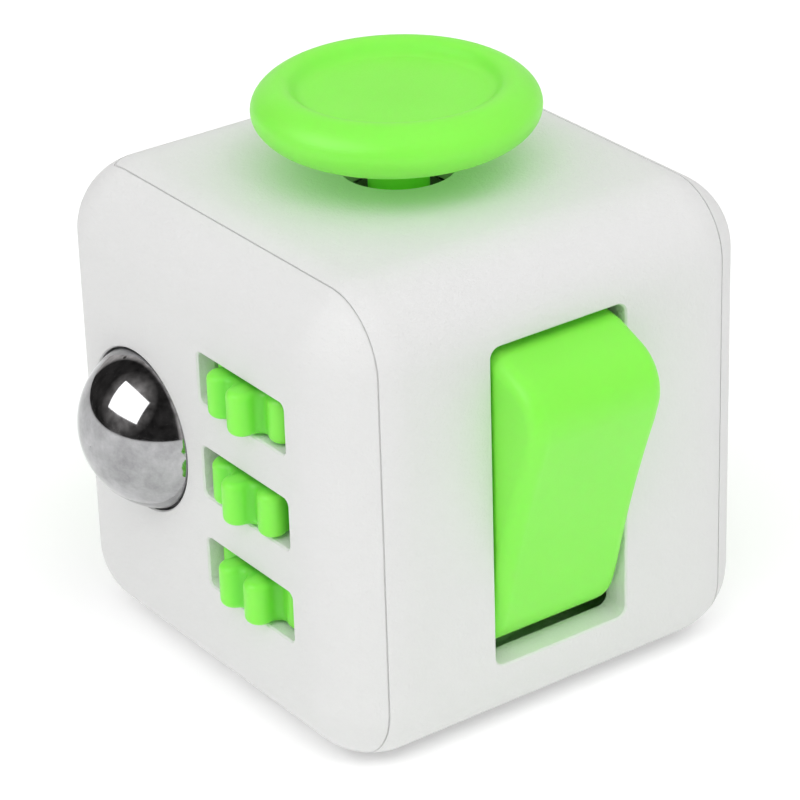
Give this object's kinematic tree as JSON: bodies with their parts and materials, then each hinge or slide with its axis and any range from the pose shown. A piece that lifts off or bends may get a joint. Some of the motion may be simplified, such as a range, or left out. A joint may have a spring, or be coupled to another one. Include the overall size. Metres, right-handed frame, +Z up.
{
  "type": "fidget cube",
  "caption": "Hand-held fidget cube with a tilting joystick disc, rocker, rolling ball, lobed wheels, push buttons, turning dial and a worry dish.",
  "frame": {"origin": "centre of the casing's bottom face, on the plane the cube rests on", "axes": "+Z up through the joystick, -Y out of the ball and wheel face, +X out of the rocker face"},
  "size_m": [0.0389, 0.0384, 0.039],
  "materials": {
    "white_shell": "fine moulded grain, matte",
    "green_plastic": "satin moulded",
    "black_plastic": "moulded, matte",
    "polished_steel": "mirror polished",
    "zinc_steel": "plain zinc-plated",
    "spring_steel": "spring temper, plain",
    "soft_pad": "soft foam rubber"
  },
  "bodies": {
    "case": {"shell_main": "white_shell", "shell_side": "white_shell", "glide_bracket": "black_plastic", "glide_screws": "zinc_steel", "glide_spring": "spring_steel", "flip_pin": "zinc_steel", "flip_bracket": "black_plastic", "flip_spring": "spring_steel", "flip_screws": "zinc_steel", "ball_snap_dome": "spring_steel", "wheel_axle": "zinc_steel", "roll_bracket": "black_plastic", "roll_screws": "zinc_steel", "click_dome_1": "spring_steel", "click_dome_2": "spring_steel", "click_dome_3": "spring_steel", "quiet_pad_1": "soft_pad", "quiet_pad_2": "soft_pad", "click_plate": "black_plastic", "click_screws": "zinc_steel"},
    "glide_ring": {"glide_gimbal": "black_plastic"},
    "joystick": {"glide_disc": "green_plastic", "glide_dome": "black_plastic", "glide_stick": "black_plastic"},
    "rocker": {"flip_rocker": "green_plastic"},
    "cup": {"ball_cup": "black_plastic"},
    "ball": {"roll_ball": "polished_steel"},
    "top_wheel": {"wheel_top": "green_plastic"},
    "middle_wheel": {"wheel_middle": "green_plastic"},
    "bottom_wheel": {"wheel_bottom": "green_plastic"},
    "centre_button": {"button_centre": "green_plastic"},
    "first_button": {"button_1": "green_plastic"},
    "second_button": {"button_2": "green_plastic"},
    "third_button": {"button_3": "green_plastic"},
    "fourth_button": {"button_4": "green_plastic"},
    "dial": {"spin_dial": "green_plastic", "spin_washer": "zinc_steel", "spin_screw": "zinc_steel"}
  },
  "joints": [
    {"name": "glide_tilt_x", "type": "hinge", "parent": "case", "child": "glide_ring", "pos_m": [0, 0, 0.026], "axis": [1, 0, 0], "range_deg": [-8.5, 8.5], "stiffness_Nm_per_rad": 0.02, "deforming": ["glide_spring"]},
    {"name": "glide_tilt_y", "type": "hinge", "parent": "glide_ring", "child": "joystick", "pos_m": [0, 0, 0.026], "axis": [0, 1, 0], "range_deg": [-8.5, 8.5], "stiffness_Nm_per_rad": 0.02, "deforming": ["glide_spring"]},
    {"name": "flip", "type": "hinge", "parent": "case", "child": "rocker", "pos_m": [0.0133, 0, 0.0167], "axis": [0, -1, 0], "range_deg": [0, 34.8], "deforming": ["flip_spring"]},
    {"name": "ball_press", "type": "slide", "parent": "case", "child": "cup", "axis": [0, 1, 0], "range_m": [0, 0.0005], "stiffness_N_per_m": 4000, "springref_m": -0.0001, "deforming": ["ball_snap_dome"]},
    {"name": "ball_roll", "type": "hinge", "parent": "cup", "child": "ball", "pos_m": [-0.00658, -0.01455, 0.0168], "axis": [1, 0, 0], "continuous": true},
    {"name": "wheel_bottom_spin", "type": "hinge", "parent": "case", "child": "bottom_wheel", "pos_m": [0.00555, -0.0129, 0.01032], "axis": [0, 0, 1], "continuous": true},
    {"name": "wheel_middle_spin", "type": "hinge", "parent": "case", "child": "middle_wheel", "pos_m": [0.00555, -0.0129, 0.01692], "axis": [0, 0, 1], "continuous": true},
    {"name": "wheel_top_spin", "type": "hinge", "parent": "case", "child": "top_wheel", "pos_m": [0.00555, -0.0129, 0.02352], "axis": [0, 0, 1], "continuous": true},
    {"name": "centre_button_press", "type": "slide", "parent": "case", "child": "centre_button", "axis": [0, -1, 0], "range_m": [0, 0.0006], "stiffness_N_per_m": 3000, "springref_m": -0.0001, "deforming": ["click_dome_1"]},
    {"name": "first_button_press", "type": "slide", "parent": "case", "child": "first_button", "axis": [0, -1, 0], "range_m": [0, 0.0006], "stiffness_N_per_m": 3000, "springref_m": -0.0001, "deforming": ["click_dome_2"]},
    {"name": "second_button_press", "type": "slide", "parent": "case", "child": "second_button", "axis": [0, -1, 0], "range_m": [0, 0.0006], "stiffness_N_per_m": 1500, "springref_m": -0.0001, "deforming": ["quiet_pad_1"]},
    {"name": "third_button_press", "type": "slide", "parent": "case", "child": "third_button", "axis": [0, -1, 0], "range_m": [0, 0.0006], "stiffness_N_per_m": 1500, "springref_m": -0.0001, "deforming": ["quiet_pad_2"]},
    {"name": "fourth_button_press", "type": "slide", "parent": "case", "child": "fourth_button", "axis": [0, -1, 0], "range_m": [0, 0.0006], "stiffness_N_per_m": 3000, "springref_m": -0.0001, "deforming": ["click_dome_3"]},
    {"name": "dial_spin", "type": "hinge", "parent": "case", "child": "dial", "pos_m": [-0.0165, 0, 0.0165], "axis": [-1, 0, 0], "continuous": true}
  ]
}
